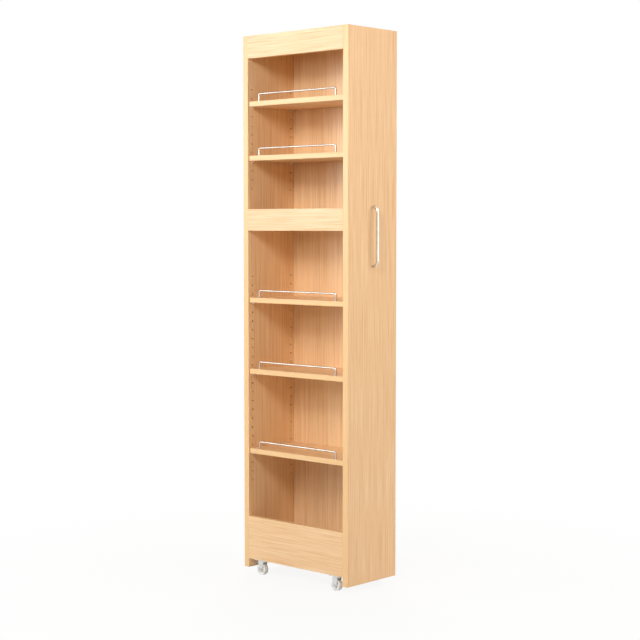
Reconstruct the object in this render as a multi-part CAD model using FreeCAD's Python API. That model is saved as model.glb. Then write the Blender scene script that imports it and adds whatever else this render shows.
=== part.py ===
import FreeCAD, Part
import math
import os

# Slim rolling shelf: a tall narrow case on four fixed casters, open along one long side, with five
# movable shelves, a wire guard on each of them and a bar handle on one narrow end.
# Millimetres. +Z is up, +X points to the end with the handle, and the open side faces -Y.
# The origin lies on the floor, at the centre of the overall box.

Vector = FreeCAD.Vector
ALONG_X = Vector(1, 0, 0)
ALONG_Y = Vector(0, 1, 0)
UP = Vector(0, 0, 1)

# Case
case_width = 200.0            # across the narrow end that carries the handle
case_depth = 390.0            # along the open side
case_height = 1490.0          # end panels, from their lower ends to the top
panel_thickness = 18.0        # end panels
board_thickness = 15.0        # top board, fixed shelf and bottom board
rail_thickness = 15.0         # the three rails across the open side
back_thickness = 4.0
back_recess = 11.0            # back panel to the rear edges of the end panels
panel_drop = 25.0             # the end panels hang this far below the bottom board
edge_rounding = 0.8           # long edges of all boards
groove_depth = 6.0            # grooves that hold the back panel

# Rails
top_rail_height = 62.0
middle_rail_height = 60.0
bottom_rail_height = 121.0

# Clear heights between a fixed board and the movable shelf next to it, as shares of what the boards
# and the steps between the movable shelves leave free; the rest lies over the highest shelf
bottom_bay_share = 0.3488     # bottom board to the lowest movable shelf
middle_bay_share = 0.2289     # third movable shelf to the fixed shelf
fixed_bay_share = 0.2197      # fixed shelf to the second movable shelf

# Movable shelves
shelf_thickness = 14.0
shelf_recess = 4.0            # open face to the shelf's front edge
shelf_back_room = 1.5         # shelf to the back panel
shelf_end_room = 0.4          # shelf end to the collar of a pin
shelf_seat_room = 0.2         # shelf underside to the top of a pin

# Rows of pin holes in the end panels, on which the movable shelves can be set
hole_pitch = 25.0
lower_steps = (9, 8)          # pitches between the lower movable shelves, from the lowest up
upper_steps = (6,)            # the same for the upper ones
lower_spare_holes = (3, 3)    # free holes below and above the lower movable shelves
upper_spare_holes = (3, 2)    # the same for the upper ones
front_row_inset = 16.0        # open face to the front rows
rear_row_inset = 12.0         # back panel to the rear rows

# Shelf pins
pin_diameter = 5.0
pin_stem_length = 10.0        # in the end panel
pin_peg_length = 6.0          # under the shelf
pin_collar_diameter = 6.5
pin_collar_thickness = 0.8
pin_chamfer = 0.6

# Wire guards on the movable shelves
guard_wire = 4.5
guard_bend = 4.5              # centreline radius of the two corners
guard_rise = 15.5             # straight part of a leg above the shelf
guard_leg_depth = 9.0         # legs go this far into the shelf
guard_leg_inset = 33.0        # shelf end to the legs
guard_setback = 6.0           # shelf's front edge to the legs

# Bar handle
handle_rod = 8.0
handle_spacing = 160.0        # between the two feet
handle_foot = 2.8             # straight part of a foot
handle_bend = 15.0            # centreline radius of the two bends
handle_drop = 15.5            # middle of the handle below the underside of the fixed shelf
handle_screw_diameter = 4.0
handle_screw_bite = 7.0       # thread inside a foot
handle_screw_hole_room = 0.3  # radial room in the end panel
handle_screw_head_diameter = 8.0

# Joinery inside the boards
dowel_diameter = 8.0
dowel_in_panel = 11.0
dowel_in_rail = 9.0
dowel_in_board = 19.0
dowel_chamfer = 1.0
rail_dowel_inset = 16.0       # rail's upper and lower edges to the dowels in its ends
cam_inset = 35.0              # front edge of a board, and back panel, to the cam joints
cam_reach = 24.0              # end of a board to the cam's centre
cam_diameter = 15.0
cam_height = 12.0
cam_slot_width = 1.6
cam_slot_length = 9.0
cam_slot_depth = 2.0
bolt_thread_diameter = 5.0
bolt_thread_length = 11.0
bolt_shank_diameter = 6.0
bolt_neck_diameter = 4.0
bolt_neck_length = 4.0
bolt_head_length = 3.0
bolt_room = 0.15              # bolt to the cam that grips it
bolt_bore_room = 1.0          # radial room in the end of a board

# Casters
wheel_diameter = 32.0
wheel_width = 14.0
wheel_rounding = 2.0
wheel_hub_diameter = 13.0
wheel_rim_depth = 4.0
wheel_dish = 2.0              # depth of the hollow in each side of a wheel
wheel_headroom = 8.4          # wheel to the fork's crown
wheel_side_room = 0.6         # wheel to the fork's legs
axle_diameter = 6.0
axle_room = 0.05              # radial running room of a wheel on its axle
axle_head_diameter = 9.0
axle_head_height = 1.4
fork_sheet = 1.8
fork_width = 18.0
fork_bend = 2.0               # inside radius where the crown turns into a leg
fork_leg_end = 7.0            # radius of the rounded leg ends
fork_shoulder = 6.0           # height of the fork's straight sides
plate_thickness = 1.8
plate_corner = 4.0
plate_margin = 5.5            # screw holes to the plate's edges
plate_hole_spread = 20.0      # between the two rows of screw holes, across the wheel
caster_screw_diameter = 3.5
caster_screw_head_diameter = 7.0
caster_screw_head_height = 2.2
caster_screw_head_room = 2.5  # screw heads to the fork
caster_screw_skin = 1.0       # wood left over a screw's tip, under the back panel's groove
caster_end_inset = 54.5       # end faces of the case to the axles
caster_side_inset = 18.5      # open face and rear edges to the wheels' middle planes

# Fits
snug = 0.05                   # radial room round pins, dowels, screws and wire legs
hole_end_room = 0.5           # free depth beyond the end of a pin, dowel, screw or leg
groove_room = 0.15            # back panel to each side of its grooves

# Plan of the case
handle_standoff = handle_foot + handle_bend
overall_depth = case_depth + handle_standoff + handle_rod / 2
rear_end_x = -overall_depth / 2
front_end_x = rear_end_x + case_depth
inside_rear_x = rear_end_x + panel_thickness
inside_front_x = front_end_x - panel_thickness
inside_length = inside_front_x - inside_rear_x
middle_x = (rear_end_x + front_end_x) / 2
rail_dowels_x = (middle_x - inside_length / 4, middle_x + inside_length / 4)
open_y = -case_width / 2
rear_y = case_width / 2
back_face_y = rear_y - back_recess - back_thickness
rail_back_y = open_y + rail_thickness
rail_middle_y = open_y + rail_thickness / 2
front_row_y = open_y + front_row_inset
rear_row_y = back_face_y - rear_row_inset
cam_rows_y = (rail_back_y + cam_inset, back_face_y - cam_inset)
board_dowel_y = (rail_back_y + back_face_y) / 2

# Levels from the floor up
caster_height = wheel_diameter + wheel_headroom + fork_sheet + plate_thickness
bottom_board_z = caster_height
panel_low_z = bottom_board_z - panel_drop


def climb(first, steps):
    """Undersides of a stack of shelves, each a whole number of hole pitches above the last."""
    levels = [first]
    for step in steps:
        levels.append(levels[-1] + step * hole_pitch)
    return levels


case_top_z = panel_low_z + case_height
top_board_z = case_top_z - board_thickness
steps_height = sum(lower_steps + upper_steps) * hole_pitch
boards_height = 3 * board_thickness + 2 * shelf_thickness  # fixed boards, and the last shelf of each stack
free_height = case_height - panel_drop - boards_height - steps_height
bottom_bay = bottom_bay_share * free_height
middle_bay = middle_bay_share * free_height
fixed_bay = fixed_bay_share * free_height
lower_shelves_z = climb(bottom_board_z + board_thickness + bottom_bay, lower_steps)
fixed_shelf_z = lower_shelves_z[-1] + shelf_thickness + middle_bay
upper_shelves_z = climb(fixed_shelf_z + board_thickness + fixed_bay, upper_steps)
shelves_z = upper_shelves_z[::-1] + lower_shelves_z[::-1]
boards_z = (top_board_z, fixed_shelf_z, bottom_board_z)
pin_drop = pin_diameter / 2 + shelf_seat_room
handle_z = fixed_shelf_z - handle_drop
handle_feet_z = (handle_z - handle_spacing / 2, handle_z + handle_spacing / 2)

# Each rail as its lower edge, its height and the underside of the board behind it
rails = {
    "top_rail": (case_top_z - top_rail_height, top_rail_height, top_board_z),
    "middle_rail": (fixed_shelf_z, middle_rail_height, fixed_shelf_z),
    "bottom_rail": (bottom_board_z, bottom_rail_height, bottom_board_z),
}

# Each caster as the middle of its wheel
casters = {
    "front_open_side": (front_end_x - caster_end_inset, open_y + caster_side_inset),
    "front_back_side": (front_end_x - caster_end_inset, rear_y - caster_side_inset),
    "rear_open_side": (rear_end_x + caster_end_inset, open_y + caster_side_inset),
    "rear_back_side": (rear_end_x + caster_end_inset, rear_y - caster_side_inset),
}
axle_z = wheel_diameter / 2
crown_top_z = bottom_board_z - plate_thickness
fork_inside = wheel_width / 2 + wheel_side_room
fork_outside = fork_inside + fork_sheet
plate_hole_spacing = fork_width + caster_screw_head_diameter + 2 * caster_screw_head_room
caster_screw_bite = board_thickness - groove_depth - caster_screw_skin

os.makedirs("parts", exist_ok=True)


def save(name, shape):
    """Write one named piece, or a group of like pieces, to its own file."""
    shape.exportStep("parts/" + name + ".step")


def block(low, high):
    """A plain block between two opposite corners."""
    size = high - low
    return Part.makeBox(size.x, size.y, size.z, low)


def rounded_block(low, high, radius, along):
    """A block whose four edges along one axis are rounded."""
    shape = block(low, high)
    edges = []
    for edge in shape.Edges:
        if abs(edge.tangentAt(edge.FirstParameter).dot(along)) > 0.99:
            edges.append(edge)
    return shape.makeFillet(radius, edges)


def turned(profile, place, along):
    """A solid of revolution from (radius, distance) pairs, its axis running along a direction."""
    points = [Vector(radius, 0, distance) for radius, distance in profile]
    face = Part.Face(Part.makePolygon(points + points[:1]))
    solid = face.revolve(Vector(0, 0, 0), UP, 360)
    solid.Placement = FreeCAD.Placement(place, FreeCAD.Rotation(UP, along))
    return solid


def hole(diameter, depth, place, along, room=snug):
    """The cutter for a round hole that gives a pin or a screw some radial room."""
    return Part.makeCylinder(diameter / 2 + room, depth, place, along)


def bent_rod(corners, diameter, bend):
    """A round rod along straight runs, with an arc of one radius at each inner corner."""
    edges = []
    start = corners[0]
    for before, corner, after in zip(corners, corners[1:], corners[2:]):
        back = (before - corner).normalize()
        ahead = (after - corner).normalize()
        half_turn = back.getAngle(ahead) / 2
        trim = bend / math.tan(half_turn)
        inward = (back + ahead).normalize()
        middle = corner + inward * (bend / math.sin(half_turn) - bend)
        arc_start = corner + back * trim
        arc_end = corner + ahead * trim
        edges.append(Part.makeLine(start, arc_start))
        edges.append(Part.Arc(arc_start, middle, arc_end).toShape())
        start = arc_end
    edges.append(Part.makeLine(start, corners[-1]))
    first_run = corners[1] - corners[0]
    section = Part.Wire(Part.makeCircle(diameter / 2, corners[0], first_run))
    return Part.Wire(edges).makePipeShell([section], True, False)


# End panels


def pin_levels():
    """Heights of all pin holes, the lower rows first."""
    levels = []
    groups = (
        (lower_shelves_z, lower_steps, lower_spare_holes),
        (upper_shelves_z, upper_steps, upper_spare_holes),
    )
    for shelves, steps, (spare_below, spare_above) in groups:
        lowest = shelves[0] - pin_drop - spare_below * hole_pitch
        for index in range(spare_below + sum(steps) + spare_above + 1):
            levels.append(lowest + index * hole_pitch)
    return levels


def end_panel(outer_x, inner_x, outward):
    """A full-height end panel with its pin holes, its joinery holes and the back panel's groove."""
    low = Vector(min(outer_x, inner_x), open_y, panel_low_z)
    high = Vector(max(outer_x, inner_x), rear_y, case_top_z)
    cutters = []
    for level in pin_levels():
        for row_y in (front_row_y, rear_row_y):
            place = Vector(inner_x, row_y, level)
            cutters.append(hole(pin_diameter, pin_stem_length + hole_end_room, place, outward))
    for board_z in boards_z:
        middle_z = board_z + board_thickness / 2
        for row_y in cam_rows_y:
            place = Vector(inner_x, row_y, middle_z)
            depth = bolt_thread_length + hole_end_room
            cutters.append(hole(bolt_thread_diameter, depth, place, outward))
        place = Vector(inner_x, board_dowel_y, middle_z)
        cutters.append(hole(dowel_diameter, dowel_in_panel + hole_end_room, place, outward))
    for rail_z, rail_height, board_z in rails.values():
        for level in (rail_z + rail_dowel_inset, rail_z + rail_height - rail_dowel_inset):
            place = Vector(inner_x, rail_middle_y, level)
            cutters.append(hole(dowel_diameter, dowel_in_panel + hole_end_room, place, outward))
    groove_bottom_x = inner_x + outward.x * groove_depth
    groove_low = Vector(
        min(inner_x, groove_bottom_x),
        back_face_y - groove_room,
        bottom_board_z + board_thickness - groove_depth,
    )
    groove_high = Vector(
        max(inner_x, groove_bottom_x),
        back_face_y + back_thickness + groove_room,
        top_board_z + groove_depth,
    )
    cutters.append(block(groove_low, groove_high))
    return rounded_block(low, high, edge_rounding, UP).cut(cutters)


def countersunk(shank_room, head_room, length, foot_z):
    """A countersunk screw, or the cutter for its hole, from the inside of the front end panel on."""
    shank = handle_screw_diameter / 2 + shank_room
    head = handle_screw_head_diameter / 2 + head_room
    profile = [(0, 0), (head, 0), (shank, head - shank), (shank, length), (0, length)]
    return turned(profile, Vector(inside_front_x, 0, foot_z), ALONG_X)


rear_end_panel = end_panel(rear_end_x, inside_rear_x, -ALONG_X)
front_end_panel = end_panel(front_end_x, inside_front_x, ALONG_X)
handle_holes = []
for foot_z in handle_feet_z:
    handle_holes.append(countersunk(handle_screw_hole_room, snug, panel_thickness, foot_z))
save("rear_end_panel", rear_end_panel)
save("front_end_panel", front_end_panel.cut(handle_holes))


# Back panel


def back_panel():
    """A thin panel held on all four sides by grooves."""
    held = groove_depth - hole_end_room
    low = Vector(inside_rear_x - held, back_face_y, bottom_board_z + board_thickness - held)
    high = Vector(inside_front_x + held, back_face_y + back_thickness, top_board_z + held)
    return block(low, high)


save("back_panel", back_panel())


# Caster screws are shared by the bottom board, the bottom rail and the casters


def caster_screw_places():
    """Where the caster screws enter the wood."""
    places = []
    for wheel_x, wheel_y in casters.values():
        for along in (-plate_hole_spacing / 2, plate_hole_spacing / 2):
            for across in (-plate_hole_spread / 2, plate_hole_spread / 2):
                places.append(Vector(wheel_x + along, wheel_y + across, bottom_board_z))
    return places


def caster_screw_holes():
    """Cutters for the pilot holes of the caster screws."""
    depth = caster_screw_bite + hole_end_room
    return [hole(caster_screw_diameter, depth, place, UP) for place in caster_screw_places()]


# Fixed boards


def board_groove(low_z):
    """The groove for the back panel in the top or the bottom board."""
    low = Vector(inside_rear_x, back_face_y - groove_room, low_z)
    high = Vector(inside_front_x, back_face_y + back_thickness + groove_room, low_z + groove_depth)
    return block(low, high)


def board_ends():
    """The two ends of a fixed board, each with the direction that leads into the board."""
    return ((inside_rear_x, ALONG_X), (inside_front_x, -ALONG_X))


def fixed_board(board_z, depth_end_y):
    """A board between the end panels, bored for its cams, bolts and dowels."""
    low = Vector(inside_rear_x, rail_back_y, board_z)
    high = Vector(inside_front_x, depth_end_y, board_z + board_thickness)
    middle_z = board_z + board_thickness / 2
    cutters = []
    for end_x, inward in board_ends():
        for row_y in cam_rows_y:
            bolt_place = Vector(end_x, row_y, middle_z)
            cutters.append(
                hole(bolt_shank_diameter, cam_reach, bolt_place, inward, bolt_bore_room)
            )
            cam_place = Vector(end_x + inward.x * cam_reach, row_y, board_z)
            cutters.append(hole(cam_diameter, cam_height + hole_end_room, cam_place, UP))
        dowel_place = Vector(end_x, board_dowel_y, middle_z)
        cutters.append(hole(dowel_diameter, dowel_in_board + hole_end_room, dowel_place, inward))
    for dowel_x in rail_dowels_x:
        dowel_place = Vector(dowel_x, rail_back_y, middle_z)
        cutters.append(hole(dowel_diameter, dowel_in_board + hole_end_room, dowel_place, ALONG_Y))
    return rounded_block(low, high, edge_rounding, ALONG_X).cut(cutters)


top_board = fixed_board(top_board_z, rear_y)
bottom_board = fixed_board(bottom_board_z, rear_y)
bottom_groove_z = bottom_board_z + board_thickness - groove_depth
save("top_board", top_board.cut(board_groove(top_board_z)))
save("fixed_shelf", fixed_board(fixed_shelf_z, back_face_y))
save("bottom_board", bottom_board.cut([board_groove(bottom_groove_z)] + caster_screw_holes()))


# Rails across the open side


def rail(rail_z, rail_height, board_z):
    """A rail between the end panels, flush with their front edges."""
    low = Vector(inside_rear_x, open_y, rail_z)
    high = Vector(inside_front_x, rail_back_y, rail_z + rail_height)
    cutters = []
    for end_x, inward in board_ends():
        for level in (rail_z + rail_dowel_inset, rail_z + rail_height - rail_dowel_inset):
            place = Vector(end_x, rail_middle_y, level)
            cutters.append(hole(dowel_diameter, dowel_in_board + hole_end_room, place, inward))
    for dowel_x in rail_dowels_x:
        place = Vector(dowel_x, rail_back_y, board_z + board_thickness / 2)
        cutters.append(hole(dowel_diameter, dowel_in_rail + hole_end_room, place, -ALONG_Y))
    return rounded_block(low, high, edge_rounding, ALONG_X).cut(cutters)


for rail_name, rail_sizes in rails.items():
    rail_shape = rail(*rail_sizes)
    if rail_name == "bottom_rail":
        rail_shape = rail_shape.cut(caster_screw_holes())
    save(rail_name, rail_shape)


# Joinery: dowels, cam bolts and cams


def dowel(place, along, back_length):
    """A wooden dowel across a joint, reaching back into one piece and on into a board."""
    radius = dowel_diameter / 2
    tip = radius - dowel_chamfer
    profile = [
        (0, -back_length),
        (tip, -back_length),
        (radius, dowel_chamfer - back_length),
        (radius, dowel_in_board - dowel_chamfer),
        (tip, dowel_in_board),
        (0, dowel_in_board),
    ]
    return turned(profile, place, along)


def bolt_profile(room, start):
    """Half section of a cam bolt from a start distance on, widened by some room."""
    thread = bolt_thread_diameter / 2
    shank = bolt_shank_diameter / 2 + room
    neck = bolt_neck_diameter / 2 + room
    head_end = cam_reach + bolt_head_length / 2 + room
    neck_end = cam_reach - bolt_head_length / 2 - room
    neck_start = cam_reach - bolt_head_length / 2 - bolt_neck_length + room
    profile = [(0, start)]
    if start < 0:
        profile += [(thread, start), (thread, 0)]
        start = 0
    profile += [(shank, start), (shank, neck_start), (neck, neck_start), (neck, neck_end)]
    profile += [(shank, neck_end), (shank, head_end), (0, head_end)]
    return profile


def cam_bolt(place, inward):
    """A bolt screwed into an end panel, its grooved head lying inside a cam."""
    return turned(bolt_profile(0, -bolt_thread_length), place, inward)


def cam(place, inward):
    """A slotted cam in the underside of a board, hollow where it grips the bolt's head."""
    centre = Vector(place.x + inward.x * cam_reach, place.y, place.z - board_thickness / 2)
    disc = Part.makeCylinder(cam_diameter / 2, cam_height, centre, UP)
    grip = turned(bolt_profile(bolt_room, cam_reach - cam_diameter / 2 - snug), place, inward)
    slot_half = Vector(cam_slot_length / 2, cam_slot_width / 2, 0)
    slot = block(centre - slot_half, centre + slot_half + UP * cam_slot_depth)
    return disc.cut([grip, slot])


panel_dowels = []
rail_dowels = []
cam_bolts = []
cams = []
for board_z in boards_z:
    joint_z = board_z + board_thickness / 2
    for end_x, inward in board_ends():
        panel_dowels.append(dowel(Vector(end_x, board_dowel_y, joint_z), inward, dowel_in_panel))
        for row_y in cam_rows_y:
            joint = Vector(end_x, row_y, joint_z)
            cam_bolts.append(cam_bolt(joint, inward))
            cams.append(cam(joint, inward))
for rail_z, rail_height, board_z in rails.values():
    for end_x, inward in board_ends():
        for level in (rail_z + rail_dowel_inset, rail_z + rail_height - rail_dowel_inset):
            panel_dowels.append(dowel(Vector(end_x, rail_middle_y, level), inward, dowel_in_panel))
    for dowel_x in rail_dowels_x:
        joint = Vector(dowel_x, rail_back_y, board_z + board_thickness / 2)
        rail_dowels.append(dowel(joint, ALONG_Y, dowel_in_rail))
save("panel_dowels", Part.makeCompound(panel_dowels))
save("rail_dowels", Part.makeCompound(rail_dowels))
save("cam_bolts", Part.makeCompound(cam_bolts))
save("cam_locks", Part.makeCompound(cams))


# Movable shelves with their pins and guards

shelf_rear_x = inside_rear_x + pin_collar_thickness + shelf_end_room
shelf_front_x = inside_front_x - pin_collar_thickness - shelf_end_room
shelf_open_y = open_y + shelf_recess
guard_y = shelf_open_y + guard_setback
guard_legs_x = (shelf_rear_x + guard_leg_inset, shelf_front_x - guard_leg_inset)


def movable_shelf(shelf_z):
    """A loose board with two holes in its top for the legs of the guard."""
    shelf_top_z = shelf_z + shelf_thickness
    low = Vector(shelf_rear_x, shelf_open_y, shelf_z)
    high = Vector(shelf_front_x, back_face_y - shelf_back_room, shelf_top_z)
    cutters = []
    for leg_x in guard_legs_x:
        place = Vector(leg_x, guard_y, shelf_top_z)
        cutters.append(hole(guard_wire, guard_leg_depth + hole_end_room, place, -UP))
    return rounded_block(low, high, edge_rounding, ALONG_X).cut(cutters)


def guard(shelf_z):
    """A wire bent to a low bridge over the shelf's front edge."""
    shelf_top_z = shelf_z + shelf_thickness
    foot_z = shelf_top_z - guard_leg_depth
    bar_z = shelf_top_z + guard_rise + guard_bend
    first_x, last_x = guard_legs_x
    corners = [
        Vector(first_x, guard_y, foot_z),
        Vector(first_x, guard_y, bar_z),
        Vector(last_x, guard_y, bar_z),
        Vector(last_x, guard_y, foot_z),
    ]
    return bent_rod(corners, guard_wire, guard_bend)


def shelf_pin(place, inward):
    """A turned pin: a stem in the end panel, a thin collar and a peg that carries the shelf."""
    pin = pin_diameter / 2
    collar = pin_collar_diameter / 2
    peg_end = pin_collar_thickness + pin_peg_length
    profile = [
        (0, -pin_stem_length),
        (pin - pin_chamfer, -pin_stem_length),
        (pin, pin_chamfer - pin_stem_length),
        (pin, 0),
        (collar, 0),
        (collar, pin_collar_thickness),
        (pin, pin_collar_thickness),
        (pin, peg_end - pin_chamfer),
        (pin - pin_chamfer, peg_end),
        (0, peg_end),
    ]
    return turned(profile, place, inward)


def shelf_pins(shelf_z):
    """The four pins under one movable shelf."""
    pins = []
    for end_x, inward in board_ends():
        for row_y in (front_row_y, rear_row_y):
            pins.append(shelf_pin(Vector(end_x, row_y, shelf_z - pin_drop), inward))
    return Part.makeCompound(pins)


for number, shelf_z in enumerate(shelves_z, start=1):
    save("shelf_%d" % number, movable_shelf(shelf_z))
    save("shelf_%d_guard" % number, guard(shelf_z))
    save("shelf_%d_pins" % number, shelf_pins(shelf_z))


# Handle


def pull_handle():
    """A round bar bent to a bow, tapped in both feet for the screws."""
    low_z, high_z = handle_feet_z
    bar_x = front_end_x + handle_standoff
    corners = [
        Vector(front_end_x, 0, high_z),
        Vector(bar_x, 0, high_z),
        Vector(bar_x, 0, low_z),
        Vector(front_end_x, 0, low_z),
    ]
    taps = []
    for foot_z in handle_feet_z:
        place = Vector(front_end_x, 0, foot_z)
        taps.append(hole(handle_screw_diameter, handle_screw_bite + hole_end_room, place, ALONG_X))
    return bent_rod(corners, handle_rod, handle_bend).cut(taps)


handle_screws = []
for foot_z in handle_feet_z:
    handle_screws.append(countersunk(0, 0, panel_thickness + handle_screw_bite, foot_z))
save("pull_handle", pull_handle())
save("handle_screws", Part.makeCompound(handle_screws))


# Casters


def fork_outline(wheel_x, wheel_y):
    """Side view of a fork: straight shoulders and legs that taper to a round end at the axle."""
    half = fork_width / 2
    shoulder_z = crown_top_z - fork_shoulder
    rise = shoulder_z - axle_z
    reach = math.hypot(half, rise)
    touch = math.atan2(rise, half) - math.acos(fork_leg_end / reach)
    touch_x = fork_leg_end * math.cos(touch)
    touch_z = axle_z + fork_leg_end * math.sin(touch)
    y = wheel_y - fork_outside
    right = Vector(wheel_x + touch_x, y, touch_z)
    left = Vector(wheel_x - touch_x, y, touch_z)
    right_shoulder = Vector(wheel_x + half, y, shoulder_z)
    left_shoulder = Vector(wheel_x - half, y, shoulder_z)
    right_top = Vector(wheel_x + half, y, crown_top_z)
    left_top = Vector(wheel_x - half, y, crown_top_z)
    edges = [
        Part.Arc(right, Vector(wheel_x, y, axle_z - fork_leg_end), left).toShape(),
        Part.makeLine(left, left_shoulder),
        Part.makeLine(left_shoulder, left_top),
        Part.makeLine(left_top, right_top),
        Part.makeLine(right_top, right_shoulder),
        Part.makeLine(right_shoulder, right),
    ]
    return Part.Face(Part.Wire(edges)).extrude(ALONG_Y * (2 * fork_outside))


def arch(wheel_x, wheel_y, half_y, top_z, bend):
    """A tunnel over the wheel with rounded upper edges, open below."""
    low = Vector(wheel_x - fork_width, wheel_y - half_y, axle_z - 2 * fork_leg_end)
    high = Vector(wheel_x + fork_width, wheel_y + half_y, top_z)
    shape = block(low, high)
    edges = []
    for edge in shape.Edges:
        if abs(edge.tangentAt(0).x) > 0.99 and edge.CenterOfMass.z > axle_z:
            edges.append(edge)
    return shape.makeFillet(bend, edges)


def caster_bracket(wheel_x, wheel_y):
    """A screwed plate with a bent sheet fork under it."""
    outer = arch(wheel_x, wheel_y, fork_outside, crown_top_z, fork_bend + fork_sheet)
    inner = arch(wheel_x, wheel_y, fork_inside, crown_top_z - fork_sheet, fork_bend)
    fork = outer.cut(inner).common(fork_outline(wheel_x, wheel_y))
    reach_x = plate_hole_spacing / 2 + plate_margin
    reach_y = plate_hole_spread / 2 + plate_margin
    plate = rounded_block(
        Vector(wheel_x - reach_x, wheel_y - reach_y, crown_top_z),
        Vector(wheel_x + reach_x, wheel_y + reach_y, bottom_board_z),
        plate_corner,
        UP,
    )
    axle_place = Vector(wheel_x, wheel_y - fork_outside, axle_z)
    cutters = [hole(axle_diameter, 2 * fork_outside, axle_place, ALONG_Y)]
    for place in caster_screw_places():
        cutters.append(hole(caster_screw_diameter, plate_thickness, place, -UP))
    return plate.fuse(fork).removeSplitter().cut(cutters)


def caster_wheel(wheel_x, wheel_y):
    """A moulded wheel with rounded tread edges and a dished web between rim and hub."""
    radius = wheel_diameter / 2
    half = wheel_width / 2
    web = half - wheel_dish
    hub = wheel_hub_diameter / 2
    rim = radius - wheel_rim_depth
    bore = axle_diameter / 2 + axle_room
    profile = [
        (bore, -half),
        (hub, -half),
        (hub, -web),
        (rim, -web),
        (rim, -half),
        (radius, -half),
        (radius, half),
        (rim, half),
        (rim, web),
        (hub, web),
        (hub, half),
        (bore, half),
    ]
    wheel = turned(profile, Vector(wheel_x, wheel_y, axle_z), ALONG_Y)
    tread_edges = []
    for edge in wheel.Edges:
        if isinstance(edge.Curve, Part.Circle) and abs(edge.Curve.Radius - radius) < snug:
            tread_edges.append(edge)
    return wheel.makeFillet(wheel_rounding, tread_edges)


def caster_axle(wheel_x, wheel_y):
    """A rivet through both legs of the fork."""
    shank = axle_diameter / 2
    head = axle_head_diameter / 2
    outside = fork_outside + axle_head_height
    profile = [
        (0, -outside),
        (head, -outside),
        (head, -fork_outside),
        (shank, -fork_outside),
        (shank, fork_outside),
        (head, fork_outside),
        (head, outside),
        (0, outside),
    ]
    return turned(profile, Vector(wheel_x, wheel_y, axle_z), ALONG_Y)


def caster_screw(place):
    """A pan head screw through the plate into the wood above it."""
    shank = caster_screw_diameter / 2
    head = caster_screw_head_diameter / 2
    profile = [
        (0, -plate_thickness - caster_screw_head_height),
        (head, -plate_thickness - caster_screw_head_height),
        (head, -plate_thickness),
        (shank, -plate_thickness),
        (shank, caster_screw_bite),
        (0, caster_screw_bite),
    ]
    return turned(profile, place, UP)


for caster_name, (wheel_x, wheel_y) in casters.items():
    save("caster_bracket_" + caster_name, caster_bracket(wheel_x, wheel_y))
    save("caster_axle_" + caster_name, caster_axle(wheel_x, wheel_y))
    save("caster_wheel_" + caster_name, caster_wheel(wheel_x, wheel_y))
save("caster_screws", Part.makeCompound([caster_screw(place) for place in caster_screw_places()]))

print("case", case_depth, "x", case_width, "mm, height", case_top_z, "mm")
print("over the handle", overall_depth, "mm, end panels", case_top_z - panel_low_z, "mm high")
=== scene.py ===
# %% [markdown]
# # A slim rolling shelf
# The object is a tall, narrow case on four small casters. It stands in a gap beside a cupboard and
# is pulled out by the bar handle on its narrow end. One long side is open, with five loose shelves,
# a bent wire guard on each of them, and three rails that tie the two end panels together.
#
# The CAD model is the fixed frame of this scene: every board, wire and wheel is already in its
# place, in metres. What is left for Blender is the finish of each piece, the heads of the screws,
# the light and the camera.

# %% Load the frame
import math

import bmesh
import bpy
from mathutils import Matrix, Vector


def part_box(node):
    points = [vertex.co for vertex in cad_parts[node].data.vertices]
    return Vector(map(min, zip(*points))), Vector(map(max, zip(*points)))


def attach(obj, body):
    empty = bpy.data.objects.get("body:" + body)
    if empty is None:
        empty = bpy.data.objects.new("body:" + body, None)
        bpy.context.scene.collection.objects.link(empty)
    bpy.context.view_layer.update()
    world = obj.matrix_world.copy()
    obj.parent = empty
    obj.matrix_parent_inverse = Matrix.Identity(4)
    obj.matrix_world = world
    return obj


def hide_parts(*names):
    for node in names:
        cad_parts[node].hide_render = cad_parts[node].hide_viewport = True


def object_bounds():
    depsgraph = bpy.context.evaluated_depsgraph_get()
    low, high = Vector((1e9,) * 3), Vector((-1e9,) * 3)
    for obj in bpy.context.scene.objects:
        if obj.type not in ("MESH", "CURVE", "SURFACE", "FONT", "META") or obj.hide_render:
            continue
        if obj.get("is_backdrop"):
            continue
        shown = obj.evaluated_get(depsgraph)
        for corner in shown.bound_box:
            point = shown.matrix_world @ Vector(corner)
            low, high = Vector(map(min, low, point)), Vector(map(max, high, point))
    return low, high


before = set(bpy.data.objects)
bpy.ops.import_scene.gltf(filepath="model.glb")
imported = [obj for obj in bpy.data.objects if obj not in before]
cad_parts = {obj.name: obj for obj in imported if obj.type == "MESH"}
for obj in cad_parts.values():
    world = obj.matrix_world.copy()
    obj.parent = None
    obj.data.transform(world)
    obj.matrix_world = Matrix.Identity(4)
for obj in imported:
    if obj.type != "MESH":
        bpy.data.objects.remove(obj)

scene = bpy.context.scene
cad_box = [list(corner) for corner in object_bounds()]
cad_size = [high - low for low, high in zip(*cad_box)]
print("nodes:", len(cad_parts), "size in metres:", [round(side, 4) for side in cad_size])

# %% [markdown]
# ## The camera
# A product picture of furniture is taken from far away with a long lens, so that upright edges stay
# nearly parallel. The camera stands a little under the middle rail's height and is turned so that
# it sees the open side and the narrow end at about the same slant. A long lens from four metres
# gives that look with a tilt of a few degrees, and the lens needs no shift.

# %% Camera at the picture's viewing angle
camera_place = Vector((2.8488, -3.1170, 0.9813))
camera_turn = math.radians(42.498)    # from looking along +Y, towards -X
camera_tilt = math.radians(-3.499)    # downwards
camera_lens = 85.90                   # millimetres
sensor_width = 36.0                   # millimetres

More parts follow.
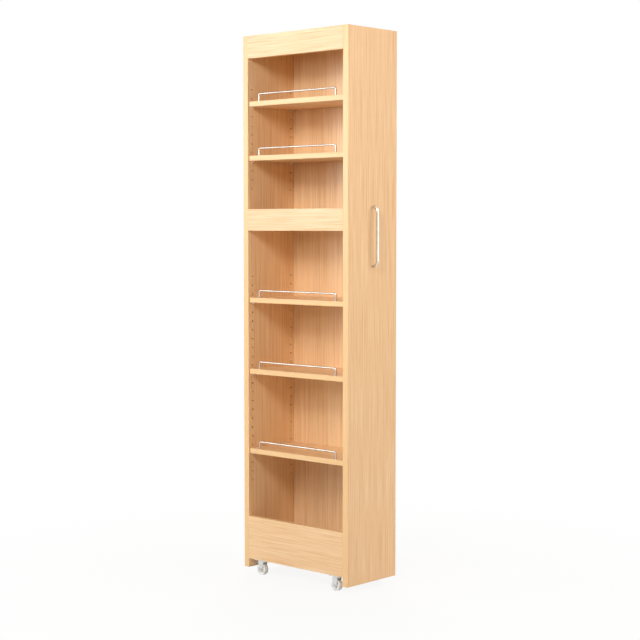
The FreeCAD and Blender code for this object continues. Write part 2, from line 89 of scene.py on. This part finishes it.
camera_data = bpy.data.cameras.new("view_camera")
camera_data.sensor_width = sensor_width
camera_data.lens = camera_lens
camera = bpy.data.objects.new("view_camera", camera_data)
camera.location = camera_place
camera.rotation_euler = (math.pi / 2 + camera_tilt, 0, camera_turn)
scene.collection.objects.link(camera)
scene.camera = camera
scene.view_settings.view_transform = "Standard"
print("camera", round(camera_place.length, 2), "m from the foot of the object")

# %% [markdown]
# ## A short way to write shader nodes
# All finishes here are procedural: they are worked out from each point's place on the object, so
# they need no pictures and no unwrapping. A shader is a small graph, and a few helpers keep that
# graph readable. `add_node` makes a node and fills its inputs, either with a value or with a link
# from another node.

# %% Helpers for shader nodes
def add_node(tree, kind, inputs=None, **settings):
    """Add a shader node, set its options, and give each named input a value or a link."""
    node = tree.nodes.new("ShaderNode" + kind)
    for name, value in settings.items():
        setattr(node, name, value)
    for name, value in (inputs or {}).items():
        if isinstance(value, bpy.types.NodeSocket):
            tree.links.new(value, node.inputs[name])
        else:
            node.inputs[name].default_value = value
    return node


def calculate(tree, operation, first, second=0.0):
    """The result of one sum on two numbers or sockets."""
    node = add_node(tree, "Math", {0: first, 1: second}, operation=operation)
    return node.outputs[0]


def spread(tree, value, low, high, to_low=0.0, to_high=1.0):
    """Stretch the values between low and high over another range, and clamp what lies outside."""
    inputs = {"Value": value, "From Min": low, "From Max": high, "To Min": to_low, "To Max": to_high}
    return add_node(tree, "MapRange", inputs).outputs["Result"]


def mix_colours(tree, amount, first, second):
    """Blend two colours. The node's colour inputs have the numbers 6 and 7, its colour output has 2."""
    node = add_node(tree, "Mix", {0: amount, 6: first, 7: second}, data_type="RGBA")
    return node.outputs[2]


def tint(code):
    """A colour code of six digits, as a colour picker shows it, as the linear colour of a shader."""
    channels = []
    for start in (0, 2, 4):
        share = int(code[start:start + 2], 16) / 255
        channels.append(share / 12.92 if share <= 0.04045 else ((share + 0.055) / 1.055) ** 2.4)
    return (*channels, 1.0)


def new_finish(name):
    """An empty material with its shader and its output in place."""
    material = bpy.data.materials.new(name)
    material.use_nodes = True
    tree = material.node_tree
    tree.nodes.clear()
    shader = add_node(tree, "BsdfPrincipled")
    output = add_node(tree, "OutputMaterial")
    tree.links.new(shader.outputs["BSDF"], output.inputs["Surface"])
    return material, tree, shader


print("a mid grey of 808080 is", round(tint("808080")[0], 3), "in linear light")

# %% [markdown]
# ## Background
# The picture has a plain white background. A white world would also light the object from all sides
# and leave it flat. Light Path tells which rays come from the camera, from a mirror-like surface or
# through glass: those rays see white, and all other rays see the faint fill light of the room.

# %% White background
fill_strength = 0.02
fill_colour = tint("FFFBF5")
white = (1.0, 1.0, 1.0, 1.0)


def seen_directly(tree):
    """One for rays from the camera, from a gloss or through glass, and zero for the rest."""
    path = add_node(tree, "LightPath")
    seen = calculate(tree, "MAXIMUM", path.outputs["Is Camera Ray"], path.outputs["Is Glossy Ray"])
    return calculate(tree, "MAXIMUM", seen, path.outputs["Is Transmission Ray"])


world = bpy.data.worlds.new("studio")
world.use_nodes = True
world.node_tree.nodes.clear()
sky = world.node_tree
fill = add_node(sky, "Background", {"Color": fill_colour, "Strength": fill_strength})
backdrop = add_node(sky, "Background", {"Color": white, "Strength": 1.0})
both = add_node(sky, "MixShader", {0: seen_directly(sky), 1: fill.outputs[0], 2: backdrop.outputs[0]})
add_node(sky, "OutputWorld", {"Surface": both.outputs[0]})
scene.world = world
print("fill light of strength", fill_strength, "behind a white background")

# %% [markdown]
# ## Floor
# The floor is an ordinary pale surface under a veil of the same white. Near the object the veil is
# thinner, so that the shadow shows through it, and further out it is whole, so that no horizon
# shows.

# %% Pale floor
floor_radius = 9.0
fade_start, fade_end = 0.25, 1.3      # distance from the object over which the floor turns white
near_white = 0.90                     # the veil's share close to the object
floor_segments = 96
floor_tones = tint("DFDFDD"), tint("E8E8E6")
floor_speckles = 60.0                 # lumps to the metre
floor_roughness = 0.8
floor_gloss = 0.2
floor_mesh = bpy.data.meshes.new("floor")
shape = bmesh.new()
bmesh.ops.create_circle(shape, cap_ends=True, segments=floor_segments, radius=floor_radius)
shape.to_mesh(floor_mesh)
shape.free()
floor = bpy.data.objects.new("floor", floor_mesh)
scene.collection.objects.link(floor)
floor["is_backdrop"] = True

floor_finish, tree, shader = new_finish("pale_floor")
place = add_node(tree, "TexCoord").outputs["Object"]
speckle = add_node(tree, "TexNoise", {"Vector": place, "Scale": floor_speckles, "Detail": 4.0}).outputs[0]
shader.inputs["Roughness"].default_value = floor_roughness
shader.inputs["Specular IOR Level"].default_value = floor_gloss
tree.links.new(mix_colours(tree, speckle, *floor_tones), shader.inputs["Base Color"])
distance = add_node(tree, "VectorMath", {0: place}, operation="LENGTH").outputs["Value"]
far = spread(tree, distance, fade_start, fade_end, near_white, 1.0)
glow = add_node(tree, "Emission", {"Color": white, "Strength": 1.0})
whitening = calculate(tree, "MULTIPLY", far, seen_directly(tree))
both = add_node(tree, "MixShader", {0: whitening, 1: shader.outputs[0], 2: glow.outputs[0]})
tree.links.new(both.outputs[0], tree.nodes["Material Output"].inputs["Surface"])
floor_mesh.materials.append(floor_finish)
print("floor", 2 * floor_radius, "m across, white from", fade_end, "m on")

# %% [markdown]
# ## Lamps
# Six soft lamps make the light of a studio. One stands in front of the open side and reaches to the
# back of the bays, and a higher one to its right throws the shade of each board on the bay under
# it. The one on the left stands where the camera's view is mirrored by the upper rails, so that its
# sheen lies on their satin faces and leaves the low rail alone. A very large, slightly warm one
# lights the narrow end: the larger a lamp is, the fainter the shadow of a thin bar, and the
# handle's hardly shows. The last two stand behind and hang above, for the sides that the camera
# does not see.

# %% Soft lamps
lamp_aim = Vector((0.0, 0.0, 0.85))
neutral, warm, slightly_warm = "FFFFFF", "FFF1E3", "FFFAF4"


def soft_lamp(name, place, size, power, colour):
    """A square lamp that faces the object, with its place and size in metres and its power in watts."""
    data = bpy.data.lights.new(name, "AREA")
    data.shape = "SQUARE"
    data.size = size
    data.energy = power
    data.color = tint(colour)[:3]
    lamp = bpy.data.objects.new(name, data)
    lamp.location = place
    lamp.rotation_euler = (lamp_aim - Vector(place)).to_track_quat("-Z", "Y").to_euler()
    scene.collection.objects.link(lamp)
    return lamp


front_lamp = soft_lamp("front_lamp", (-0.1, -2.5, 1.7), 1.0, 21.5, neutral)
sheen_lamp = soft_lamp("sheen_lamp", (-2.2, -2.4, 1.5), 1.2, 27.5, neutral)
high_lamp = soft_lamp("high_lamp", (1.15, -2.25, 2.2), 0.7, 33.5, neutral)
end_lamp = soft_lamp("end_lamp", (2.8, 0.8, 2.0), 3.2, 70.0, warm)
back_lamp = soft_lamp("back_lamp", (-2.0, 2.2, 1.9), 1.8, 74.0, slightly_warm)
top_lamp = soft_lamp("top_lamp", (-0.05, 0.2, 2.35), 0.6, 3.4, slightly_warm)
for lamp in (front_lamp, sheen_lamp, high_lamp, end_lamp, back_lamp, top_lamp):
    print(lamp.name, "at", [round(value, 2) for value in lamp.location], lamp.data.energy, "W")

# %% [markdown]
# ## Wood grain
# All the boards are covered with a sheet that shows straight, fine wood grain: upright on the end
# panels and the back, lengthwise on the rails and shelves. Straight grain is noise that is drawn
# out along one direction. Three layers of it do the work: broad bands, the thin lines that the eye
# picks out, and fibres. Short dark pores are a fourth noise, cut off so that only its peaks are
# left.

# %% Grain along a board
grain_draw = 1 / 75                   # how much slower the pattern changes along the grain
pore_draw = 1 / 16                    # pores are shorter than lines
AXES = {"X": 0, "Y": 1, "Z": 2}


def drawn_place(tree, along, draw):
    """The point on the object, squeezed along the grain so that patterns come out as streaks."""
    scale = [1.0, 1.0, 1.0]
    scale[AXES[along]] = draw
    place = add_node(tree, "TexCoord").outputs["Object"]
    return add_node(tree, "Mapping", {"Vector": place, "Scale": scale}).outputs["Vector"]


def noise(tree, place, scale, detail=2.0, roughness=0.5):
    """Noise around one half, at so many lumps to the metre."""
    inputs = {"Vector": place, "Scale": scale, "Detail": detail, "Roughness": roughness}
    return add_node(tree, "TexNoise", inputs).outputs[0]


print("grain is drawn out", round(1 / grain_draw), "times, pores", round(1 / pore_draw), "times")

# %% [markdown]
# The front edges of panels and shelves carry a paler strip. A board's broad faces all look along
# one axis, so any part of the surface that looks elsewhere is an edge. On the small roundings the
# surface looks between two axes, and there the sheet is rubbed a little paler and smoother by hands
# and cloths. The direction in which a surface looks is its normal, so no strip has to be painted on
# by hand.

# %% Which way a surface looks
flat_look, round_look = 0.97, 0.75    # the largest part of a normal, on a flat face and on a rounding


def facing(tree):
    """How much the surface looks along X, Y and Z, each from zero to one."""
    normal = add_node(tree, "TexCoord").outputs["Normal"]
    absolute = add_node(tree, "VectorMath", {0: normal}, operation="ABSOLUTE").outputs["Vector"]
    return add_node(tree, "SeparateXYZ", {"Vector": absolute}).outputs


def rounding(tree, looks):
    """One in the middle of a rounded edge, zero on the flat faces."""
    most = calculate(tree, "MAXIMUM", looks[0], looks[1])
    most = calculate(tree, "MAXIMUM", most, looks[2])
    return spread(tree, most, flat_look, round_look)


print("a rounding counts in full at", round(math.degrees(math.acos(round_look))), "degrees off a face")

# %% [markdown]
# The colour runs from dark lines to pale ones through a ramp of three colours. Layers of noise are
# added up, each with its own weight, and the same layers can stand out of the surface a little as a
# bump.

# %% Colours, layers and relief
dark_stop, middle_stop, pale_stop = 0.30, 0.50, 0.70


def colour_ramp(tree, amount, dark, middle, pale):
    """A smooth run of three colours."""
    node = add_node(tree, "ValToRGB", {"Fac": amount})
    node.color_ramp.elements[0].position = dark_stop
    node.color_ramp.elements[0].color = tint(dark)
    node.color_ramp.elements[1].position = pale_stop
    node.color_ramp.elements[1].color = tint(pale)
    node.color_ramp.elements.new(middle_stop).color = tint(middle)
    return node.outputs["Color"]


def blend_sum(tree, *parts):
    """Several sockets, each times its own weight, added up."""
    total = None
    for socket, weight in parts:
        share = calculate(tree, "MULTIPLY", socket, weight)
        total = share if total is None else calculate(tree, "ADD", total, share)
    return total


def rough_relief(tree, shader, height, strength, depth):
    """Let a pattern stand out of the surface by a depth in metres."""
    bump = add_node(tree, "Bump", {"Height": height, "Strength": strength, "Distance": depth})
    tree.links.new(bump.outputs["Normal"], shader.inputs["Normal"])


print("colours run from", dark_stop, "to", pale_stop, "of a pattern's range")

# %% [markdown]
# The sheet itself puts these together. Its lacquer is satin: the pale lines are slightly smoother
# than the dark ones, which lets the sheen of a lamp break up along the grain.

# %% Wood-grain sheet
noise_low, noise_high = 0.3, 0.7      # nearly all noise lies between these
core_low, core_high = 0.35, 0.65      # and most of it between these
band_scale, line_scale, fibre_scale, pore_scale = 24.0, 380.0, 700.0, 520.0   # lumps to the metre
line_weight, band_weight, fibre_weight = 0.80, 0.07, 0.18
grain_middle = (line_weight + band_weight + fibre_weight) / 2
line_roughness = 0.55                 # share of ever finer lumps in the lines
face_look, edge_look = 0.75, 0.45     # part of a normal along the face's axis, on a face and on an edge
pore_start, pore_full = 0.66, 0.74    # only the peaks of the noise are pores
pore_share, pore_colour = 0.14, tint("A8703E")
rubbed_least, rubbed_most, rubbed_colour = 0.15, 0.55, tint("F9DDB4")
satin_rough, satin_smooth, rubbed_gain = 0.39, 0.31, 0.10
lacquer_ior = 1.52
line_relief, grain_relief, grain_depth = 0.5, 0.12, 0.0003


def wood_sheet(name, along, face, sheet, strip, fineness=1.0, contrast=1.0):
    """A satin wood-grain sheet with paler edge strips. Colours go from dark lines to pale ones."""
    material, tree, shader = new_finish(name)
    place = drawn_place(tree, along, grain_draw)
    bands = noise(tree, place, band_scale)
    lines = noise(tree, place, line_scale * fineness, roughness=line_roughness)
    fibres = noise(tree, place, fibre_scale * fineness)
    streaks = blend_sum(tree, (lines, line_weight), (bands, band_weight), (fibres, fibre_weight))
    reach = 0.5 / contrast
    streaks = spread(tree, streaks, grain_middle - reach, grain_middle + reach)
    looks = facing(tree)
    on_strip = spread(tree, looks[AXES[face]], face_look, edge_look)
    face_colour = colour_ramp(tree, streaks, *sheet)
    strip_colour = colour_ramp(tree, streaks, *strip)
    colour = mix_colours(tree, on_strip, face_colour, strip_colour)
    pores = noise(tree, drawn_place(tree, along, pore_draw), pore_scale, detail=1.0)
    pores = spread(tree, pores, pore_start, pore_full)
    colour = mix_colours(tree, calculate(tree, "MULTIPLY", pores, pore_share), colour, pore_colour)
    wear = spread(tree, bands, core_low, core_high, rubbed_least, rubbed_most)
    rubbed = calculate(tree, "MULTIPLY", rounding(tree, looks), wear)
    colour = mix_colours(tree, rubbed, colour, rubbed_colour)
    tree.links.new(colour, shader.inputs["Base Color"])
    satin = spread(tree, lines, noise_low, noise_high, satin_rough, satin_smooth)
    satin = calculate(tree, "SUBTRACT", satin, calculate(tree, "MULTIPLY", rubbed, rubbed_gain))
    tree.links.new(satin, shader.inputs["Roughness"])
    shader.inputs["IOR"].default_value = lacquer_ior
    relief = calculate(tree, "SUBTRACT", calculate(tree, "MULTIPLY", lines, line_relief), pores)
    rough_relief(tree, shader, relief, grain_relief, grain_depth)
    return material


print("grain lines", round(1000 / line_scale, 1), "mm apart, bands", round(1000 / band_scale), "mm")

# %% [markdown]
# Each board gets the sheet whose grain runs along it. The end panels and the back have a little
# more contrast than the shelves, and the rails are cut from a sheet with finer lines and a paler
# ground.

# %% Sheets on the boards
def finish(names, material):
    """Give CAD nodes their finish."""
    for name in names:
        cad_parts[name].material_slots[0].material = material
    print(material.name, "on", ", ".join(names))


panel_sheet = ("E3B482", "F1CA9A", "F8D8AE")
rail_sheet = ("E4B27D", "F6CC9A", "FDDDB4")
edge_strip = ("F1C288", "F6CB92", "F9D29D")
end_panels = wood_sheet("end_panel_sheet", "Z", "X", panel_sheet, edge_strip, contrast=1.12)
back_sheet = wood_sheet("back_panel_sheet", "Z", "Y", panel_sheet, panel_sheet, contrast=1.2)
rail_boards = wood_sheet("rail_sheet", "X", "Y", rail_sheet, edge_strip, fineness=1.4, contrast=0.95)
flat_boards = wood_sheet("shelf_sheet", "X", "Z", panel_sheet, edge_strip)
shelves = ["shelf_%d" % number for number in range(1, 6)]
finish(["front_end_panel", "rear_end_panel"], end_panels)
finish(["back_panel"], back_sheet)
finish(["top_rail", "middle_rail", "bottom_rail"], rail_boards)
finish(["top_board", "fixed_shelf", "bottom_board"] + shelves, flat_boards)

# %% [markdown]
# ## Dowels
# The dowels sit inside the joints, where only their ends could ever show. They are bare beech:
# short flecks on a pale, slightly pink ground, with no lacquer. Noise in all directions gives the
# fleck, and a rough surface with no coat keeps it dry.

# %% Bare beech
beech = ("C99B6C", "DDB689", "EACBA2")
fleck_scale, beech_cloud_scale = 900.0, 140.0
fleck_weight, beech_cloud_weight = 0.6, 0.4
beech_rough, beech_smooth = 0.82, 0.66
fleck_relief, fleck_depth = 0.3, 0.0002


def bare_beech(name):
    """Unfinished turned wood with short flecks."""
    material, tree, shader = new_finish(name)
    place = add_node(tree, "TexCoord").outputs["Object"]
    flecks = noise(tree, place, fleck_scale, detail=3.0, roughness=0.6)
    cloud = noise(tree, place, beech_cloud_scale)
    amount = blend_sum(tree, (flecks, fleck_weight), (cloud, beech_cloud_weight))
    tree.links.new(colour_ramp(tree, amount, *beech), shader.inputs["Base Color"])
    dry = spread(tree, flecks, noise_low, noise_high, beech_rough, beech_smooth)
    tree.links.new(dry, shader.inputs["Roughness"])
    rough_relief(tree, shader, flecks, fleck_relief, fleck_depth)
    return material


finish(["panel_dowels", "rail_dowels"], bare_beech("dowel_beech"))

# %% [markdown]
# ## Metal
# The guards and the handle are brightly plated, the shelf pins are nickel, and the casters are
# plain zinc. All of them are the same kind of surface with other numbers: a metal has no colour of
# its own beyond the tint of its reflections, so most of the look is roughness. Soft clouds in the
# roughness stand for hands and dust, a very fine noise for the grain of the plating, and edges are
# rubbed a little brighter. In a white room bright plating reflects nothing but white, so the wire
# and the bar have a darker tint, which gives them an outline.

# %% Plated metal
hand_mark_scale = 38.0
hand_mark_weight, plating_weight = 0.7, 0.3
rubbed_brightness = 0.3
plating_depth = 0.0001


def plated_metal(name, dull, bright, smooth, rough, grain, relief):
    """A metal between two tints and two roughnesses, with a fine grain."""
    material, tree, shader = new_finish(name)
    place = add_node(tree, "TexCoord").outputs["Object"]
    clouds = noise(tree, place, hand_mark_scale, detail=3.0, roughness=0.6)
    fine = noise(tree, place, grain)
    tone = blend_sum(tree, (clouds, hand_mark_weight), (fine, plating_weight))
    rubbed = calculate(tree, "MULTIPLY", rounding(tree, facing(tree)), rubbed_brightness)
    tone = calculate(tree, "ADD", spread(tree, tone, core_low, core_high), rubbed)
    tree.links.new(mix_colours(tree, tone, tint(dull), tint(bright)), shader.inputs["Base Color"])
    tree.links.new(spread(tree, tone, 0.0, 1.0, rough, smooth), shader.inputs["Roughness"])
    shader.inputs["Metallic"].default_value = 1.0
    rough_relief(tree, shader, fine, relief, plating_depth)
    return material


plating = {  # dull and bright tint, smooth and rough, grain to the metre, relief
    "plated_wire": ("B6AEA6", "D0C9C1", 0.24, 0.32, 2600.0, 0.05),
    "plated_bar": ("C1B9AE", "E3DBD0", 0.14, 0.24, 2200.0, 0.04),
    "nickel_pin": ("EDE5D8", "FAF4E9", 0.34, 0.46, 3000.0, 0.08),
    "zinc_sheet": ("C6C7C5", "E5E6E3", 0.32, 0.48, 1800.0, 0.12),
    "zinc_fastener": ("A9ABAE", "D2D3D5", 0.30, 0.46, 2400.0, 0.15),
}
metal = {name: plated_metal(name, *values) for name, values in plating.items()}
corners = [end + side for end in ("front", "rear") for side in ("_open_side", "_back_side")]
finish([shelf + "_guard" for shelf in shelves], metal["plated_wire"])
finish(["pull_handle"], metal["plated_bar"])
finish([shelf + "_pins" for shelf in shelves], metal["nickel_pin"])
finish(["caster_bracket_" + corner for corner in corners], metal["zinc_sheet"])
finish(["cam_bolts", "cam_locks"], metal["zinc_fastener"])
finish(["caster_axle_" + corner for corner in corners], metal["zinc_fastener"])

# %% [markdown]
# ## Wheels
# The wheels are white moulded nylon. Nylon lets a little light in under its skin, which a trace of
# subsurface scattering gives. The mould leaves a faint orange-peel texture, and the tread, where
# the wheel meets the floor, picks up grey dust. The distance from the axle tells where the tread
# is.

# %% White nylon
wheel_radius = 0.016
dust_depth = 0.0012                   # how far the dust reaches in from the tread
most_dust, least_dust = 0.22, 0.4     # most is a share of the colour, least a share of the most
dust_roughness = 0.5
nylon_tones, dust_tone = (tint("F2F1EC"), tint("FAF9F6")), tint("BCBAB4")
nylon_cloud_scale, peel_scale = 120.0, 1500.0
nylon_smooth, nylon_rough = 0.30, 0.40
under_skin, under_skin_reach = 0.12, (0.003, 0.003, 0.0028)
peel_relief, peel_depth = 0.1, 0.0001


def nylon(name, axle):
    """Moulded white plastic for a wheel whose axle runs along Y through a point."""
    material, tree, shader = new_finish(name)
    place = add_node(tree, "TexCoord").outputs["Object"]
    flattened = {"Vector": place, "Location": (-axle.x, 0, -axle.z), "Scale": (1, 0, 1)}
    offset = add_node(tree, "Mapping", flattened).outputs[0]
    from_axle = add_node(tree, "VectorMath", {0: offset}, operation="LENGTH").outputs["Value"]
    cloud = noise(tree, place, nylon_cloud_scale, detail=3.0, roughness=0.6)
    peel = noise(tree, place, peel_scale, detail=1.0)
    body = mix_colours(tree, spread(tree, cloud, noise_low, noise_high), *nylon_tones)
    dust = spread(tree, from_axle, wheel_radius - dust_depth, wheel_radius, 0.0, most_dust)
    patches = spread(tree, cloud, core_low, core_high, least_dust, 1.0)
    dust = calculate(tree, "MULTIPLY", dust, patches)
    tree.links.new(mix_colours(tree, dust, body, dust_tone), shader.inputs["Base Color"])
    skin = spread(tree, peel, noise_low, noise_high, nylon_smooth, nylon_rough)
    rough = calculate(tree, "ADD", skin, calculate(tree, "MULTIPLY", dust, dust_roughness))
    tree.links.new(rough, shader.inputs["Roughness"])
    shader.inputs["Subsurface Weight"].default_value = under_skin
    shader.inputs["Subsurface Radius"].default_value = under_skin_reach
    rough_relief(tree, shader, peel, peel_relief, peel_depth)
    return material


for corner in corners:
    low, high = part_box("caster_wheel_" + corner)
    finish(["caster_wheel_" + corner], nylon("wheel_nylon_" + corner, (low + high) / 2))

# %% [markdown]
# ## Screws
# Each caster plate is held by four pan-head screws, and the handle by two countersunk ones that go
# in from the inside of the case. A screw is turned, so its outline is spun round an axis: a head, a
# shank with ridges for the thread, and a point. The CAD model has plain screws of the same size,
# and these stand in for them.

# %% Turned outline of a screw
spin_steps = 40
weld_distance = 1e-6
thread_root = 0.78                    # radius between the ridges, as a share of the radius over them
point_pitches = 3                     # length of the point, in pitches


def spun_mesh(name, outline):
    """Spin (radius, height) pairs round Z into a closed mesh."""
    shape = bmesh.new()
    verts = [shape.verts.new((radius, 0, height)) for radius, height in outline]
    edges = [shape.edges.new(pair) for pair in zip(verts, verts[1:])]
    bmesh.ops.spin(shape, geom=verts + edges, cent=(0, 0, 0), axis=(0, 0, 1), angle=2 * math.pi,
                   steps=spin_steps, use_merge=True)
    bmesh.ops.remove_doubles(shape, verts=shape.verts, dist=weld_distance)
    bmesh.ops.recalc_face_normals(shape, faces=shape.faces)
    mesh = bpy.data.meshes.new(name)
    shape.to_mesh(mesh)
    shape.free()
    return mesh


def thread(radius, start, end, pitch):
    """Ridges of a thread as an outline, from one height up to another, ending in a point."""
    root = radius * thread_root
    taper = point_pitches * pitch
    outline = []
    height = start
    while height < end - taper:
        outline += [(root, height), (radius, height + pitch / 2)]
        height += pitch
    return outline + [(root, height), (0, end)]


print("a screw is spun in", spin_steps, "steps")

# %% [markdown]
# The cross recess for the driver is cut out of the head with a Boolean. Its cutter is a cross of
# two bars, narrower at the bottom, as the driver's tip is.

# %% Cross recess
recess_narrowing = 0.55               # width of the cross at its bottom, as a share of that at its top


def cross_cutter(width, reach, depth):
    """A cross of two bars that narrow towards the bottom of the recess."""
    shape = bmesh.new()
    for long, wide in ((reach, width), (width, reach)):
        for vert in bmesh.ops.create_cube(shape, size=1.0)["verts"]:
            narrow = recess_narrowing if vert.co.z > 0 else 1.0
            x, y, z = vert.co
            vert.co = Vector((x * long * narrow, y * wide * narrow, z * 2 * depth))
    mesh = bpy.data.meshes.new("cross_cutter")
    shape.to_mesh(mesh)
    shape.free()
    return bpy.data.objects.new("cross_cutter", mesh)


def screw_mesh(name, outline, cross):
    """One screw along Z with its head at height zero and below, and the cross cut into it."""
    width, reach, depth = cross
    screw = bpy.data.objects.new(name, spun_mesh(name, outline))
    cutter = cross_cutter(width, reach, depth)
    cutter.location.z = outline[0][1]
    for piece in (screw, cutter):
        scene.collection.objects.link(piece)
    cut = screw.modifiers.new("cross recess", "BOOLEAN")
    cut.object = cutter
    cut.use_self = True
    mesh = bpy.data.meshes.new_from_object(screw.evaluated_get(bpy.context.evaluated_depsgraph_get()))
    bpy.data.objects.remove(screw)
    bpy.data.objects.remove(cutter)
    return mesh


print("a recess narrows to", recess_narrowing, "of its width")

# %% [markdown]
# All screws of one kind are made as one piece. It rides on the case and takes the place of the CAD
# node with the plain screws.

# %% A set of screws
sharp_angle = math.radians(35)


def screw_set(name, mesh, places, node):
    """Copies of a screw at several places, as one piece that stands for a CAD node."""
    shape = bmesh.new()
    for place in places:
        copy = mesh.copy()
        copy.transform(place)
        shape.from_mesh(copy)
        bpy.data.meshes.remove(copy)
    joined = bpy.data.meshes.new(name)
    shape.to_mesh(joined)
    shape.free()
    joined.set_sharp_from_angle(angle=sharp_angle)
    for polygon in joined.polygons:
        polygon.use_smooth = True
    joined.materials.append(metal["zinc_fastener"])
    piece = bpy.data.objects.new(name, joined)
    scene.collection.objects.link(piece)
    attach(piece, "case")
    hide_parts(node)
    print(name, len(places), "screws,", len(joined.polygons), "faces")
    return piece


print("edges over", round(math.degrees(sharp_angle)), "degrees stay sharp")

# %% [markdown]
# The places and lengths of the screws come from the CAD pieces. The caster screws sit in the
# corners of the plates, with their heads under the plate and their points in the bottom board and
# the bottom rail.

# %% Caster screws
plate_margin = 0.0055                 # screw to the plate's edges
plate_thickness = 0.0018
low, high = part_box("caster_screws")
seat_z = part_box("caster_bracket_" + corners[0])[1].z - plate_thickness
head_height = seat_z - low.z
tip = high.z - seat_z
head_radius = 0.0035
thread_radius = 0.00172               # just inside the bore
pan_shape = ((0, 1), (0.55, 1), (0.85, 0.8), (1, 0.35), (1, 0))   # shares of the head's radius and height
pan_head = [(head_radius * out, -head_height * up) for out, up in pan_shape]
pan_thread = thread(thread_radius, 0.0, tip, pitch=0.0012)
pan_cross = (0.0009, 0.0042, 0.0013)  # width, reach and depth of the recess
pan_screw = screw_mesh("pan_screw", pan_head + pan_thread, pan_cross)
places = []
for corner in corners:
    low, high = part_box("caster_bracket_" + corner)
    for x in (low.x + plate_margin, high.x - plate_margin):
        for y in (low.y + plate_margin, high.y - plate_margin):
            places.append(Matrix.Translation((x, y, seat_z)))
screw_set("caster_screw_set", pan_screw, places, "caster_screws")

# %% [markdown]
# The handle screws lie in line with the two feet of the handle. A countersunk head is a cone that
# is sunk level with the inside of the end panel.

# %% Handle screws
low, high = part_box("handle_screws")
head_radius = (high.y - low.y) / 2
shank_radius = head_radius / 2
cone = head_radius - shank_radius
thread_room = 0.98                    # share of the shank's radius
thread_start = 0.0006                 # from the cone's end
root_radius = shank_radius * thread_root
flat_head = [(0, 0), (head_radius, 0), (root_radius, head_radius - root_radius)]
flat_thread = thread(shank_radius * thread_room, cone + thread_start, high.x - low.x, pitch=0.0010)
flat_cross = (0.0010, 0.0048, 0.0015)
flat_screw = screw_mesh("flat_screw", flat_head + flat_thread, flat_cross)
turn = Matrix.Rotation(math.pi / 2, 4, "Y")
places = [Matrix.Translation((low.x, (low.y + high.y) / 2, z)) @ turn
          for z in (low.z + head_radius, high.z - head_radius)]
screw_set("handle_screw_set", flat_screw, places, "handle_screws")

# %% [markdown]
# ## The size at the end
# The finish must not change the size of the object. The box of the whole visual model is set
# beside the CAD box, and the largest change of a side between the two is printed.

# %% Compare the sizes and finish
visual_box = [list(corner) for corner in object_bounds()]
growth = max(abs(a - b) for cad, seen in zip(cad_box, visual_box) for a, b in zip(cad, seen))
print("largest change of a side:", round(growth * 1000, 3), "mm")
